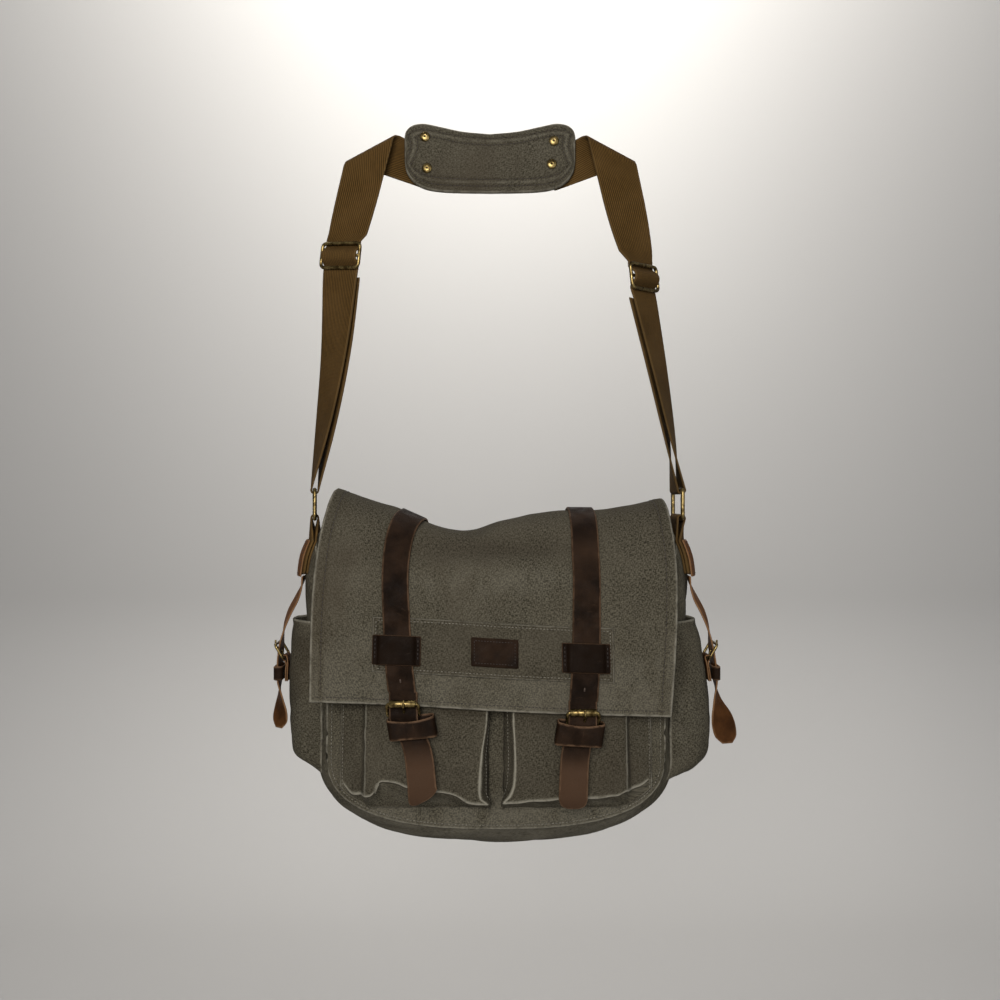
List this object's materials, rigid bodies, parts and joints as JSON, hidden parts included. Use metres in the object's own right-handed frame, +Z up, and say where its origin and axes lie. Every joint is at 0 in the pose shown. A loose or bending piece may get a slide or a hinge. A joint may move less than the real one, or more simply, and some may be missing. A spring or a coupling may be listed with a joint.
{
  "type": "camera messenger bag",
  "caption": "Canvas messenger bag hanging by its shoulder strap: buckled flap, pleated front pockets, side pockets, leather straps, brass hardware and a padded webbing strap.",
  "frame": {"origin": "top of the shoulder strap, where it hangs on a hook or a shoulder, at the middle of the bag's width", "axes": "+Z up along the hanging bag, +Y from the front to the back, +X to the right seen from the front"},
  "size_m": [0.4363, 0.139, 0.6794],
  "materials": {
    "canvas": "washed canvas, matt",
    "dark_leather": "oiled, worn at the edges",
    "tan_leather": "oiled, worn at the edges",
    "webbing": "ribbed cotton webbing",
    "brass": "antique brass"
  },
  "bodies": {
    "root": {"back_panel": "canvas", "front_panel": "canvas", "gusset": "canvas", "flap": "canvas", "flap_band": "canvas", "front_pocket_left": "canvas", "front_pocket_right": "canvas", "side_pocket_left": "canvas", "side_pocket_right": "canvas", "shoulder_pad": "canvas", "closure_strap_left": "dark_leather", "closure_strap_right": "dark_leather", "flap_keeper_left": "dark_leather", "flap_keeper_right": "dark_leather", "label_patch": "dark_leather", "buckle_tab_left": "dark_leather", "buckle_tab_right": "dark_leather", "buckle_keeper_left": "dark_leather", "buckle_keeper_right": "dark_leather", "side_keeper_left": "dark_leather", "side_keeper_right": "dark_leather", "ring_patch_left": "tan_leather", "ring_patch_right": "tan_leather", "side_strap_left": "tan_leather", "side_strap_right": "tan_leather", "side_buckle_tab_left": "tan_leather", "side_buckle_tab_right": "tan_leather", "shoulder_strap_left": "webbing", "shoulder_strap_right": "webbing", "ring_tab_left": "webbing", "ring_tab_right": "webbing", "front_buckle_left": "brass", "front_buckle_right": "brass", "front_roller_left": "brass", "front_roller_right": "brass", "front_prong_left": "brass", "front_prong_right": "brass", "side_buckle_left": "brass", "side_buckle_right": "brass", "side_prong_left": "brass", "side_prong_right": "brass", "strap_ring_left": "brass", "strap_ring_right": "brass", "slide_adjuster_left": "brass", "slide_adjuster_right": "brass", "pad_rivet_1": "brass", "pad_rivet_2": "brass", "pad_rivet_3": "brass", "pad_rivet_4": "brass"}
  },
  "joints": []
}
